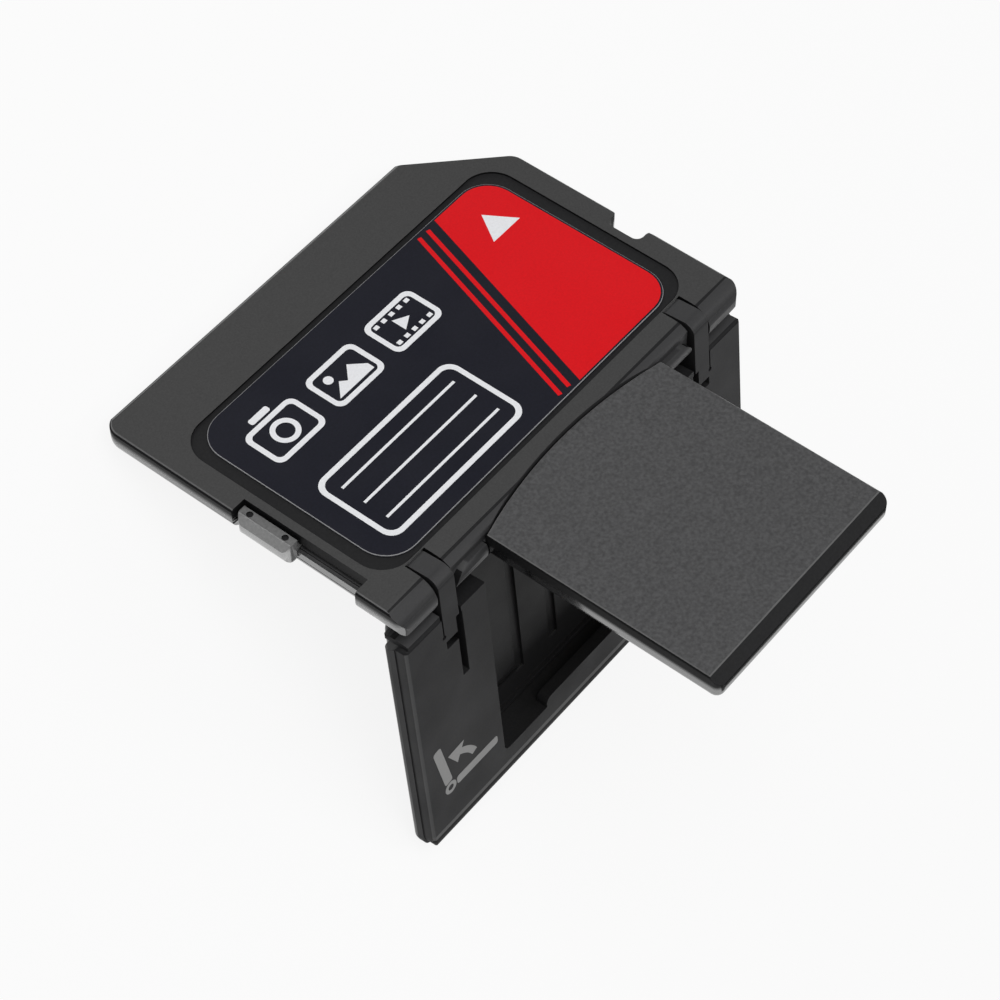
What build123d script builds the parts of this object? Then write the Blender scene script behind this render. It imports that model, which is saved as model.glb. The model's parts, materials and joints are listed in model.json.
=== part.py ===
from build123d import *

import math
import os

# A full-size memory card that folds at its middle: the outer half is a hinged cover, and folding
# it down bares a flat data plug.
#
# Each piece is modelled flat, with the cover shut, in a card frame whose origin is on the hinge
# axis at the middle of the card: x across the card, y towards the contact edge and z towards the
# label. Sizes are given as on a drawing, in millimetres, from three edges of the card: "across"
# from its left side, "along" from the contact edge and "depth" from the label face. At the end
# the cover is folded open and the open card is stood on its two lower edges, like a tent.

# Card envelope, the usual size for this kind of card
card_width = 24.0
card_length = 32.0
card_thickness = 2.1
rail_thickness = 1.4
rail_width = 0.75
corner_cut = 4.0
corner_radius = 0.9
cut_corner_radius = 0.85
face_edge_chamfer = 0.12
rail_edge_radius = 0.7
core_edge_radius = 0.5
contact_edge_radius = 0.3
body_end_corner_radius = 0.5

# How far the cover stands open
open_angle = 85.0

# Upper and lower half shells of the body
top_shell_thickness = 0.6
top_shell_end = 16.7
plug_arc_start = 15.97
plug_arc_radius = 24.0
lower_floor_thickness = 0.7
chip_pocket_depth = 0.18
chip_pocket_margin = 2.1
chip_pocket_end = 13.8

# Locating notch in the right side
side_notch_start = 10.0
side_notch_length = 1.85
side_notch_depth = 0.85
side_notch_radius = 0.4
side_notch_mouth_radius = 0.3

# Write-protect slider, its cut-out in the left side and the strip that it rides on
switch_cutout_start = 7.6
switch_cutout_length = 6.9
switch_cutout_depth = 0.85
switch_strip_inset = 0.67
switch_strip_thickness = 0.4
switch_groove_depth = 0.3
switch_groove_top = 0.63
switch_groove_height = 0.28
slider_length = 3.0
slider_clearance = 0.04
slider_end_clearance = 0.1
slider_top_depth = 0.25
slider_slope_depth = 0.72
slider_slope_inset = 0.28
slider_outer_inset = 0.04
slider_inner_gap = 0.13
slider_ridge_radius = 0.12
slider_foot_radius = 0.3
slider_corner_radius = 0.4
slider_dimple_radius = 0.16
slider_dimple_depth = 0.1
slider_dimple_spacing = 2.0

# Label and the recess that it lies in
label_recess_margin = 1.27
label_recess_start = 3.3
label_recess_end = 15.2
label_recess_depth = 0.12
label_recess_radius = 1.5
label_margin = 1.94
label_start = 3.6
label_end = 14.9
label_thickness = 0.1
label_radius = 1.6

# Circuit board, whose tongue is the core of the plug
board_thickness = 0.4
board_margin = 1.6
board_front_margin = 0.8
board_shoulder = 14.35
board_corner_margin = 0.8
board_clearance = 0.05
board_tongue_width = 11.0
board_tongue_end = 28.5

# Moulded plug cap over the board's tongue
plug_width = 12.4
plug_end = 29.15
plug_top_depth = 0.1
plug_root_start = 14.5
plug_end_radius = 0.4
plug_lower_radius = 0.35
plug_lead_in_length = 0.6
plug_lead_in_height = 0.4
plug_edge_chamfer = 0.1
plug_gap = 0.06

# Flash memory, controller and the small components
chip_height = 0.53
flash_width = 10.0
flash_length = 7.0
flash_gap = 0.3
flash_along = 9.8
controller_size = 4.5
controller_gap = 0.3
controller_along = 9.2
crystal_width = 2.0
crystal_length = 1.6
crystal_gap = 2.6
crystal_along = 5.2
small_part_width = 0.5
small_part_length = 1.0
small_part_height = 0.45
capacitor_count = 4
capacitor_gap = 0.3
capacitor_pitch = 1.2
capacitor_along = 13.0
resistor_count = 3
resistor_gap = 0.2
resistor_pitch = 0.8
resistor_along = 5.2

# Card contacts, counted from the cut corner, and their windows in the lower shell
contact_thickness = 0.04
contact_pitch = 2.5
contact_row_across = 21.0
contact_start = 1.5
set_back_contact_start = 3.2
contact_end = 5.3
contact_width = 1.5
window_end = 5.6
window_width = 1.8
narrow_contact_width = 1.0
narrow_window_width = 1.2
seventh_contact_pitch = 2.425
eighth_contact_pitch = 1.7

# Plug contacts on the underside of the tongue
plug_contact_width = 1.2
plug_contact_inner_spacing = 2.0
plug_contact_outer_spacing = 7.0
plug_contact_end = 27.9
plug_contact_outer_length = 7.6
plug_contact_inner_length = 6.6

# Hinge: a knuckle on each of the cover's two arms turns in a slot in the end of the body
arm_inset = 2.47
arm_width = 1.03
arm_thickness = 1.6
knuckle_radius = 0.6
knuckle_clearance = 0.04
slot_clearance = 0.12
trunnion_radius = 0.35
trunnion_length = 0.95
running_clearance = 0.03
trunnion_end_clearance = 0.1
slot_shoulder_radius = 0.9

# Cover: a shallow tray with a rim on three sides
cover_end_clearance = 0.08
stop_clearance = 0.03
cover_corner_radius = 0.6
cover_front_corner_radius = 0.8
cover_heel_radius = 1.0
cover_nose_radius = 0.7
cover_rail_edge_radius = 0.42
cover_floor_thickness = 0.55
cover_parting_depth = 0.63
cover_parting_step = 0.05
hinge_lip_end = 17.42
hinge_lip_inset = 0.3
hinge_lip_drop = 0.08
rail_end_slope = 0.4
rim_width = 5.3
inner_rim_start = 17.7
window_corner_radius = 0.35
end_bar_width = 2.05
ledge_width = 7.2
ledge_length = 0.55
ledge_thickness = 0.6
ledge_corner_radius = 0.4
stop_ridge_gap = 0.3
stop_ridge_width = 0.2
stop_ridge_height = 0.2
floor_rib_start = 27.75
floor_rib_width = 0.15
floor_rib_height = 0.1
relief_width = 0.6
relief_depth = 0.15
relief_margin = 0.4

# Spring slits beside each arm, which let the trunnions snap into their holes
slit_depth = 1.5
outer_slit_width = 0.08
outer_slit_end = 18.6
outer_slit_hole_radius = 0.12
arm_gap = 0.15
spring_slot_start = 18.0
spring_slot_end = 22.1
spring_slot_width = 0.42
spring_slot_overlap = 0.22
branch_start = 19.0
branch_width = 0.5
branch_inset = 0.05

# Sizes that follow from the ones above
half_width = card_width / 2
half_length = card_length / 2
half_thickness = card_thickness / 2
hinge_along = half_length
board_bottom = card_thickness - lower_floor_thickness
board_top = board_bottom - board_thickness
knuckle_reach = (half_thickness - knuckle_radius) * math.sqrt(2) + knuckle_radius
slot_radius = knuckle_reach + knuckle_clearance
slot_left = arm_inset - slot_clearance
slot_right = arm_inset + arm_width + slot_clearance
cover_floor_top = card_thickness - cover_floor_thickness
chip_pocket_left = chip_pocket_margin
chip_pocket_right = card_width - corner_cut
spill = 1.0


def x_at(across):
    """Card frame x of a distance from the card's left side."""
    return across - half_width


def y_at(along):
    """Card frame y of a distance from the contact edge."""
    return half_length - along


def z_at(depth):
    """Card frame z of a depth below the label face."""
    return half_thickness - depth


def block(across, along, depth):
    """Box between two distances from the left side, the contact edge and the label face."""
    size_x = across[1] - across[0]
    size_y = along[1] - along[0]
    size_z = depth[1] - depth[0]
    middle = Pos(x_at(sum(across) / 2), y_at(sum(along) / 2), z_at(sum(depth) / 2))
    return middle * Box(size_x, size_y, size_z)


def layer(depth):
    """Slab over the whole card between two depths."""
    return block((-spill, card_width + spill), (-spill, card_length + spill), depth)


def rectangle(across, along):
    """Flat rectangle between two distances from the left side and the contact edge."""
    middle = Pos(x_at(sum(across) / 2), y_at(sum(along) / 2))
    return middle * Rectangle(across[1] - across[0], along[1] - along[0])


def plate(sketch, depth):
    """Plan sketch pulled through a range of depths."""
    return extrude(Pos(0, 0, z_at(depth[1])) * sketch, amount=depth[1] - depth[0])


def corner(sketch, across, along):
    """Vertex of a plan sketch nearest to a point."""
    return sketch.vertices().sort_by_distance((x_at(across), y_at(along), 0))[0]


def side_prism(sketch, across):
    """Side view sketch, drawn in y and z, pulled between two distances from the left side."""
    return extrude(Plane.YZ.offset(x_at(across[0])) * sketch, amount=across[1] - across[0])


def along_prism(section, along):
    """End view section, drawn in x and z, pulled between two distances from the contact edge."""
    # The XZ plane's normal points away from the contact edge
    return extrude(Plane.XZ.offset(-y_at(along[0])) * section, amount=along[1] - along[0])


def corner_rounding(across, depth, radius):
    """Section between an upper left corner and the arc that rounds it."""
    square = Pos(x_at(across + radius / 2), z_at(depth + radius / 2)) * Rectangle(radius, radius)
    return square - Pos(x_at(across + radius), z_at(depth + radius)) * Circle(radius)


def axle(radius, across):
    """Cylinder on the hinge axis between two distances from the left side."""
    return side_prism(Circle(radius), across)


def on_both_sides(solid):
    """A left-hand feature with its mirror image on the right."""
    return solid + mirror(solid, about=Plane.YZ)


def soften(blank, lower_radius):
    """Break the upper edges of a blank and round the lower edges of its rails."""
    blank = chamfer(blank.faces().sort_by(Axis.Z)[-1].edges(), face_edge_chamfer)
    return fillet(blank.faces().sort_by(Axis.Z)[0].edges(), lower_radius)


def core_block(plan, rail_radius):
    """Thick middle of the card between its rails, with its lower side edges rounded."""
    core = plate(plan, (rail_thickness - rail_radius, card_thickness))
    side_edges = core.faces().sort_by(Axis.Z)[0].edges().filter_by(Axis.Y)
    return fillet(side_edges, core_edge_radius)


def corner_cut_triangle(margin):
    """Triangle that takes off the cut corner, moved inwards by a margin."""
    reach = corner_cut + margin * math.sqrt(2)
    tip = (half_width, half_length)
    on_end = (half_width - reach, half_length)
    on_side = (half_width, half_length - reach)
    return Polygon(tip, on_end, on_side, align=None)


def body_blank():
    """Closed outer form of the body, before it is parted into its two shells."""
    far_end = hinge_along + card_thickness
    plan = rectangle((0, card_width), (0, far_end)) - corner_cut_triangle(0)
    plan = fillet(corner(plan, 0, 0), corner_radius)
    cut_ends = [corner(plan, card_width - corner_cut, 0), corner(plan, card_width, corner_cut)]
    plan = fillet(cut_ends, cut_corner_radius)
    rails = soften(plate(plan, (0, rail_thickness)), rail_edge_radius)
    core_plan = rectangle((rail_width, card_width - rail_width), (0, far_end)) - corner_cut_triangle(0)
    core = core_block(core_plan, rail_edge_radius)
    strip = Pos(half_length / 2, 0) * Rectangle(half_length, card_thickness)
    strip = fillet(strip.vertices().group_by(Axis.X)[-1], contact_edge_radius)
    side_view = strip + Circle(half_thickness)
    end_plan = rectangle((0, card_width), (-spill, hinge_along + half_thickness))
    end_corners = [corner(end_plan, 0, far_end), corner(end_plan, card_width, far_end)]
    end_plan = fillet(end_corners, body_end_corner_radius)
    blank = (rails + core) & side_prism(side_view, (-spill, card_width + spill))
    return blank & plate(end_plan, (-spill, card_thickness + spill))


def side_notch():
    """Cutter for the locating notch, with its inner corners and its mouth rounded."""
    notch_end = side_notch_start + side_notch_length
    notch = rectangle((card_width - side_notch_depth, card_width + spill), (side_notch_start, notch_end))
    notch = fillet(notch.vertices().group_by(Axis.X)[0], side_notch_radius)
    outside = (card_width, card_width + spill)
    notch += rectangle(outside, (side_notch_start - spill, notch_end + spill))
    mouth = [corner(notch, card_width, side_notch_start), corner(notch, card_width, notch_end)]
    return plate(fillet(mouth, side_notch_mouth_radius), (-spill, card_thickness + spill))


def hinge_slots():
    """Cutter for the two slots that the knuckles turn in, round about the hinge axis."""
    span = (slot_left, slot_right)
    pocket = axle(slot_radius, span)
    way_out = block(span, (hinge_along, hinge_along + card_thickness), (-spill, card_thickness + spill))
    return on_both_sides(pocket + way_out)


def plug_arc_disc(shrink):
    """Disc whose edge is the curved end of the upper shell over the plug."""
    radius = plug_arc_radius - shrink
    return Pos(0, y_at(plug_arc_start + plug_arc_radius)) * Circle(radius)


def switch_span():
    return (switch_cutout_start, switch_cutout_start + switch_cutout_length)


def make_top_shell(body):
    """Upper half shell: label recess, curved end over the plug and room for the chips."""
    shell = body & layer((-spill, top_shell_thickness))
    between_slots = (slot_right, card_width - slot_right)
    end_cut = rectangle(between_slots, (top_shell_end, hinge_along + card_thickness))
    arc_cut = plug_arc_disc(0) & rectangle(between_slots, (0, card_length))
    shell -= plate(end_cut + arc_cut, (-spill, card_thickness))
    shell -= hinge_slots()
    recess = rectangle(
        (label_recess_margin, card_width - label_recess_margin), (label_recess_start, label_recess_end)
    )
    shell -= plate(fillet(recess.vertices(), label_recess_radius), (-spill, label_recess_depth))
    pocket_side = (chip_pocket_left, chip_pocket_right)
    pocket_depth = (top_shell_thickness - chip_pocket_depth, top_shell_thickness)
    shell -= block(pocket_side, (chip_pocket_margin, chip_pocket_end), pocket_depth)
    shell -= block((-spill, switch_cutout_depth), switch_span(), (-spill, top_shell_thickness))
    return shell - side_notch()


def contact_places():
    """Centre across the card, contact width and window width of each card contact, in order."""
    places = []
    across = contact_row_across
    for number in range(1, 10):
        narrow = number >= 8
        width = narrow_contact_width if narrow else contact_width
        window = narrow_window_width if narrow else window_width
        places.append((across, width, window))
        if number == 7:
            across -= seventh_contact_pitch
        elif number == 8:
            across -= eighth_contact_pitch
        else:
            across -= contact_pitch
    return places


def board_plan(grow):
    """Outline of the board's wide part, grown for its pocket."""
    sides = (board_margin - grow, card_width - board_margin + grow)
    plan = rectangle(sides, (board_front_margin - grow, board_shoulder + grow))
    return plan - corner_cut_triangle(board_corner_margin - grow)


def make_bottom_shell(body):
    """Lower half shell: board pocket, contact windows, trunnion holes and the slider's strip."""
    shell = body & layer((top_shell_thickness, card_thickness + spill))
    shell -= plate(board_plan(board_clearance), (0, board_bottom))
    plug_side = half_width - plug_width / 2 - board_clearance
    plug_way = (plug_side, card_width - plug_side)
    shell -= block(plug_way, (board_shoulder, card_length), (0, board_bottom))
    shell -= hinge_slots()
    hole_end = arm_inset - trunnion_length - trunnion_end_clearance
    shell -= on_both_sides(axle(trunnion_radius + running_clearance, (hole_end, slot_left)))
    shoulder = corner_rounding(slot_right, top_shell_thickness, slot_shoulder_radius)
    shell -= on_both_sides(along_prism(shoulder, (top_shell_end, hinge_along + card_thickness)))
    for across, _, window in contact_places():
        sides = (across - window / 2, across + window / 2)
        shell -= block(sides, (-spill, window_end), (board_bottom, card_thickness + spill))
    strip_top = rail_thickness - switch_strip_thickness
    shell -= block((-spill, switch_strip_inset), switch_span(), (0, card_thickness))
    shell -= block((-spill, switch_cutout_depth), switch_span(), (0, strip_top))
    groove_depth = (switch_groove_top, switch_groove_top + switch_groove_height)
    groove_side = (0, switch_cutout_depth + switch_groove_depth)
    shell -= block(groove_side, switch_span(), groove_depth)
    return shell - side_notch()


def make_slider():
    """Write-protect slider: a sloped thumb piece with a lip in the body's groove."""
    strip_top = rail_thickness - switch_strip_thickness
    inner = switch_cutout_depth - slider_inner_gap
    lip = switch_cutout_depth + switch_groove_depth - slider_clearance
    lip_top = switch_groove_top + slider_clearance
    lip_bottom = switch_groove_top + switch_groove_height - slider_clearance
    leg = switch_strip_inset - slider_clearance
    outline = [
        (inner, slider_top_depth),
        (slider_slope_inset, slider_top_depth),
        (slider_outer_inset, slider_slope_depth),
        (slider_outer_inset, rail_thickness),
        (leg, rail_thickness),
        (leg, strip_top - slider_clearance),
        (inner, strip_top - slider_clearance),
        (inner, lip_bottom),
        (lip, lip_bottom),
        (lip, lip_top),
        (inner, lip_top),
    ]
    section = Polygon(*[(x_at(across), z_at(depth)) for across, depth in outline], align=None)
    corners = section.vertices()
    ridge = corners.sort_by_distance((x_at(slider_slope_inset), z_at(slider_top_depth), 0))[0]
    section = fillet(ridge, slider_ridge_radius)
    foot = section.vertices().sort_by_distance((x_at(slider_outer_inset), z_at(rail_thickness), 0))[0]
    section = fillet(foot, slider_foot_radius)
    start = switch_cutout_start + slider_end_clearance
    ends = (start, start + slider_length)
    plan = rectangle((slider_outer_inset, lip), ends)
    plan = fillet(plan.vertices().group_by(Axis.X)[0], slider_corner_radius)
    slider = along_prism(section, ends) & plate(plan, (0, card_thickness))
    dimple_across = (slider_slope_inset + inner) / 2
    for side in (-1, 1):
        along = start + slider_length / 2 + side * slider_dimple_spacing / 2
        place = Pos(x_at(dimple_across), y_at(along), z_at(slider_top_depth))
        slider -= place * Cylinder(slider_dimple_radius, 2 * slider_dimple_depth)
    return slider


def make_label():
    plan = rectangle((label_margin, card_width - label_margin), (label_start, label_end))
    plan = fillet(plan.vertices(), label_radius)
    return plate(plan, (label_recess_depth - label_thickness, label_recess_depth))


def board_tongue_sides():
    side = half_width - board_tongue_width / 2
    return (side, card_width - side)


def make_board():
    """Circuit board: the wide part in the body and the tongue in the plug, in one piece."""
    tongue = rectangle(board_tongue_sides(), (board_shoulder, board_tongue_end))
    return plate(board_plan(0) + tongue, (board_top, board_bottom))


def make_plug_cap():
    """Moulded cap of the plug: a channel over the tongue, with a root under the upper shell."""
    side = half_width - plug_width / 2
    plan = rectangle((side, card_width - side), (plug_root_start, plug_end))
    plan = fillet(plan.vertices().group_by(Axis.Y)[0], plug_end_radius)
    visible_plan = plan & plug_arc_disc(plug_gap)
    cap = plate(visible_plan, (plug_top_depth, board_bottom))
    cap = chamfer(cap.faces().sort_by(Axis.Z)[-1].edges(), plug_edge_chamfer)
    cap += plate(plan, (top_shell_thickness, board_bottom))
    lower_edges = cap.faces().sort_by(Axis.Z)[0].edges().sort_by(Axis.Y)
    cap = fillet(lower_edges[:-1], plug_lower_radius)
    tip = y_at(plug_end)
    top = z_at(plug_top_depth)
    lead_in = Polygon(
        (tip, top), (tip, top - plug_lead_in_height), (tip + plug_lead_in_length, top), align=None
    )
    cap -= side_prism(lead_in, (0, card_width))
    return cap - block(board_tongue_sides(), (0, board_tongue_end), (board_top, card_thickness))


def on_board(across, along, width, length, height):
    """Component standing on the board's upper face."""
    sides = (across - width / 2, across + width / 2)
    ends = (along - length / 2, along + length / 2)
    return block(sides, ends, (board_top - height, board_top))


def make_flash_chip():
    across = chip_pocket_left + flash_gap + flash_width / 2
    return on_board(across, flash_along, flash_width, flash_length, chip_height)


def make_controller_chip():
    across = chip_pocket_right - controller_gap - controller_size / 2
    return on_board(across, controller_along, controller_size, controller_size, chip_height)


def make_clock_crystal():
    across = chip_pocket_right - crystal_gap - crystal_width / 2
    return on_board(across, crystal_along, crystal_width, crystal_length, small_part_height)


def component_row(count, gap, pitch, along):
    """Row of equal small components, as separate solids, from the right side of the chip pocket."""
    row = Part()
    for place in range(count):
        middle = chip_pocket_right - gap - small_part_width / 2 - place * pitch
        row += on_board(middle, along, small_part_width, small_part_length, small_part_height)
    return row


def make_card_contacts():
    """Contacts of the card, each on the board's lower face behind its window."""
    contacts = {}
    for number, (across, width, _) in enumerate(contact_places(), start=1):
        start = set_back_contact_start if number == 1 else contact_start
        sides = (across - width / 2, across + width / 2)
        depth = (board_bottom, board_bottom + contact_thickness)
        contacts[f"card_contact_{number}"] = block(sides, (start, contact_end), depth)
    return contacts


def plug_contact_places():
    """Distance from the card's middle line and length of each plug contact."""
    outer = plug_contact_outer_spacing / 2
    inner = plug_contact_inner_spacing / 2
    long = plug_contact_outer_length
    short = plug_contact_inner_length
    return [(-outer, long), (-inner, short), (inner, short), (outer, long)]


def make_plug_contacts():
    """Contacts of the plug, on the underside of the tongue."""
    contacts = {}
    for number, (offset_across, length) in enumerate(plug_contact_places(), start=1):
        middle = half_width + offset_across
        sides = (middle - plug_contact_width / 2, middle + plug_contact_width / 2)
        depth = (board_bottom, board_bottom + contact_thickness)
        ends = (plug_contact_end - length, plug_contact_end)
        contacts[f"plug_contact_{number}"] = block(sides, ends, depth)
    return contacts


def cover_start(depth):
    """Where the cover's hinge end lies at a depth: it lies flat on the body's underside when open."""
    angle = math.radians(open_angle)
    rise = (depth - half_thickness) * math.cos(angle)
    return hinge_along + (half_thickness + stop_clearance - rise) / math.sin(angle)


def cover_blank():
    """Closed outer form of the cover, with its hinge end hollowed to pass the body's round end."""
    plan = rectangle((0, card_width), (hinge_along, card_length))
    plan = fillet(plan.vertices().group_by(Axis.Y)[0], cover_corner_radius)
    step = cover_parting_step
    front_plan = rectangle((step, card_width - step), (hinge_along, card_length - step))
    front_plan = fillet(front_plan.vertices().group_by(Axis.Y)[0], cover_front_corner_radius)
    rails = plate(plan, (cover_parting_depth, rail_thickness))
    rails = soften(rails + plate(front_plan, (0, cover_parting_depth)), cover_rail_edge_radius)
    heel = cover_start(card_thickness)
    core_plan = rectangle((rail_width, card_width - rail_width), (heel, card_length))
    core_plan = fillet(core_plan.vertices().group_by(Axis.Y)[0], cover_corner_radius)
    core_plan = fillet(core_plan.vertices().group_by(Axis.Y)[-1], cover_heel_radius)
    core = core_block(core_plan, cover_rail_edge_radius)
    nose = (y_at(card_length), half_thickness)
    tail = (y_at(card_length), -half_thickness)
    upper_start = (y_at(cover_start(0)), half_thickness)
    lower_start = (y_at(cover_start(card_thickness)), -half_thickness)
    side_view = Polygon(nose, tail, lower_start, upper_start, align=None)
    side_view = fillet(side_view.vertices().sort_by_distance((*nose, 0))[0], cover_nose_radius)
    side_view = fillet(side_view.vertices().sort_by_distance((*tail, 0))[0], contact_edge_radius)
    full_width = (-spill, card_width + spill)
    blank = (rails + core) & side_prism(side_view, full_width)
    blank -= axle(half_thickness + cover_end_clearance, full_width)
    step_back = block(full_width, (hinge_along, hinge_lip_end), (-spill, card_thickness + spill))
    lip_sides = (hinge_lip_inset, card_width - hinge_lip_inset)
    step_back -= block(lip_sides, (hinge_along, hinge_lip_end), (hinge_lip_drop, card_thickness + spill))
    rail_end = Polygon(
        (y_at(hinge_lip_end), z_at(cover_parting_depth)),
        (y_at(hinge_lip_end + rail_end_slope), z_at(rail_thickness)),
        (y_at(hinge_lip_end), z_at(rail_thickness)),
        align=None,
    )
    return blank - step_back - on_both_sides(side_prism(rail_end, (-spill, rail_width)))


def hinge_arm():
    """Left arm with its knuckle, which is square to the body, and so flush with it, shut or open."""
    reach = cover_start(0) - hinge_along + spill
    arm = Pos(-reach / 2, half_thickness - arm_thickness / 2) * Rectangle(reach, arm_thickness)
    knuckle = Pos(half_thickness / 2, 0) * Rectangle(half_thickness, card_thickness)
    knuckle = fillet(knuckle.vertices().group_by(Axis.X)[-1], knuckle_radius)
    profile = arm + knuckle + Circle(half_thickness)
    return side_prism(profile, (arm_inset, arm_inset + arm_width))


def hinge_trunnion():
    """Left arm's trunnion, which turns in a blind hole in the lower shell."""
    return axle(trunnion_radius, (arm_inset - trunnion_length, arm_inset + arm_width / 2))


def spring_slits():
    """Cutter for the slits on both sides of the left arm."""
    depth = (-spill, slit_depth)
    arm_side = arm_inset + arm_width
    inner_wall = arm_side + arm_gap
    slot_sides = (arm_side - spring_slot_overlap, arm_side - spring_slot_overlap + spring_slot_width)
    branch = (branch_start, branch_start + branch_width)
    slits = block((arm_inset - outer_slit_width, arm_inset), (hinge_along, outer_slit_end), depth)
    hole_place = Pos(x_at(arm_inset - outer_slit_width / 2), y_at(outer_slit_end))
    slits += plate(hole_place * Circle(outer_slit_hole_radius), depth)
    slits += block((arm_side, inner_wall), (hinge_along, spring_slot_start), depth)
    slits += block(slot_sides, (spring_slot_start, spring_slot_end), depth)
    slits += block((arm_inset + branch_inset, slot_sides[0]), branch, depth)
    slits += block((inner_wall, rim_width), (hinge_along, inner_rim_start), (-spill, cover_floor_top))
    return slits


def make_cover():
    """Cover: a tray with a three-sided rim, two hinge arms and a floor behind the plug."""
    cover = cover_blank()
    window_sides = (rim_width, card_width - rim_width)
    bar_start = card_length - end_bar_width
    window = rectangle(window_sides, (hinge_along, bar_start))
    window = fillet(window.vertices().group_by(Axis.Y)[0], window_corner_radius)
    cover -= plate(window, (-spill, cover_floor_top))
    ledge_sides = (half_width - ledge_width / 2, half_width + ledge_width / 2)
    ledge = rectangle(ledge_sides, (bar_start - ledge_length, bar_start))
    ledge = fillet(ledge.vertices().group_by(Axis.Y)[-1], ledge_corner_radius)
    cover += plate(ledge, (0, ledge_thickness))
    ridge_start = plug_end + stop_ridge_gap
    ridge = (ridge_start, ridge_start + stop_ridge_width)
    cover += block(window_sides, ridge, (cover_floor_top - stop_ridge_height, cover_floor_top))
    rib_sides = (rim_width, half_width - plug_contact_outer_spacing / 2)
    rib = (floor_rib_start, floor_rib_start + floor_rib_width)
    cover += on_both_sides(block(rib_sides, rib, (cover_floor_top - floor_rib_height, cover_floor_top)))
    for offset_across, length in plug_contact_places():
        middle = half_width + offset_across
        sides = (middle - relief_width / 2, middle + relief_width / 2)
        ends = (plug_contact_end - length - relief_margin, plug_contact_end + relief_margin)
        cover -= block(sides, ends, (cover_floor_top - relief_depth, cover_floor_top + relief_depth))
    cover += on_both_sides(hinge_arm())
    cover -= on_both_sides(spring_slits())
    return cover + on_both_sides(hinge_trunnion())


def make_pieces():
    """Every piece of the card, flat and shut, in the card frame."""
    body = body_blank()
    pieces = {
        "top_shell": make_top_shell(body),
        "bottom_shell": make_bottom_shell(body),
        "write_protect_slider": make_slider(),
        "label": make_label(),
        "circuit_board": make_board(),
        "plug_cap": make_plug_cap(),
        "flash_chip": make_flash_chip(),
        "controller_chip": make_controller_chip(),
        "clock_crystal": make_clock_crystal(),
        "capacitors": component_row(capacitor_count, capacitor_gap, capacitor_pitch, capacitor_along),
        "resistors": component_row(resistor_count, resistor_gap, resistor_pitch, resistor_along),
        "cover": make_cover(),
    }
    pieces.update(make_card_contacts())
    pieces.update(make_plug_contacts())
    return pieces


def stand_open(pieces):
    """Fold the cover open, tilt the card by half the angle and stand it over the origin."""
    tilt = open_angle / 2
    posed = {}
    for name, piece in pieces.items():
        turn = tilt if name == "cover" else -tilt
        posed[name] = Rot(turn, 0, 0) * piece
    boxes = [piece.bounding_box() for piece in posed.values()]
    box = boxes[0]
    for other in boxes[1:]:
        box = box.add(other)
    middle = box.center()
    move = Pos(-middle.X, -middle.Y, -box.min.Z)
    return {name: move * piece for name, piece in posed.items()}, move


standing, hinge_place = stand_open(make_pieces())
os.makedirs("parts", exist_ok=True)
for node, solid in standing.items():
    export_step(solid, f"parts/{node}.step")
print("hinge axis at", hinge_place.position, "tilt", open_angle / 2)
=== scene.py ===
# %% [markdown]
# # A folding memory card, dressed in Blender
#
# The card is a few plastic mouldings the size of a postage stamp: a body with a label, a flat data
# plug that sticks out of it, and a cover that folds away from the plug on a hinge. Its shape comes
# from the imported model, in metres, and this lesson gives it its finishes, its print, a camera and
# light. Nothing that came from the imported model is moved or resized.

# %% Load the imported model
import json
import math

import bmesh
import bpy
from mathutils import Matrix, Vector


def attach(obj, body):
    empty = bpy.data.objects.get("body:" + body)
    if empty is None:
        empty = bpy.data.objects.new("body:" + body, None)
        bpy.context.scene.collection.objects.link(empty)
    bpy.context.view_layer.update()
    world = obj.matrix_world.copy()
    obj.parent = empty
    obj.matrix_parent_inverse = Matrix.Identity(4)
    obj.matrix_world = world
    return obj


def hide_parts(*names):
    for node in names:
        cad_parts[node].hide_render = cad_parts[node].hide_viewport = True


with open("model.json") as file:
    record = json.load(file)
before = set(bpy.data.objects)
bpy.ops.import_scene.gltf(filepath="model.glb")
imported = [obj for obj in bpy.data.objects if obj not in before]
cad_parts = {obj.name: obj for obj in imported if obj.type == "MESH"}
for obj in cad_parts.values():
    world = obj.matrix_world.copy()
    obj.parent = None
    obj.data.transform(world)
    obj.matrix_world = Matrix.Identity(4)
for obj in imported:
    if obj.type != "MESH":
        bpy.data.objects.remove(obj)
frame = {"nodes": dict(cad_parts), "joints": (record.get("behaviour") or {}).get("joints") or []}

MM = 0.001
scene = bpy.context.scene
scene.view_settings.view_transform = "Standard"
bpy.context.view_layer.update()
print("pieces in the packed model:", len(frame["nodes"]))

# %% [markdown]
# ## The card's own frame
#
# The open card stands like a tent, but its sizes are easiest to think of on the flat card: x across
# the card, y towards the contact edge, z out of the label face, from a point on the hinge axis. The
# hinge joint in the record says where that point is and how far the cover is folded, so one matrix
# takes a place on the flat body to its place in the tent, and another does so for the cover.

# %% Matrices from the flat card to the standing card
hinge = next(joint for joint in frame["joints"] if joint["name"] == "cover_fold")
hinge_place = Vector(hinge["pos_m"])
open_angle = math.radians(hinge["range_deg"][1] - hinge["range_deg"][0])
body_from_flat = Matrix.Translation(hinge_place) @ Matrix.Rotation(-open_angle / 2, 4, "X")
cover_from_flat = Matrix.Translation(hinge_place) @ Matrix.Rotation(open_angle / 2, 4, "X")


def flat_box(node, from_flat):
    """Lowest and highest corner of a node, measured on the flat card."""
    to_flat = from_flat.inverted()
    places = [to_flat @ vertex.co for vertex in frame["nodes"][node].data.vertices]
    low = Vector(min(place[axis] for place in places) for axis in range(3))
    high = Vector(max(place[axis] for place in places) for axis in range(3))
    return low, high


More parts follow.
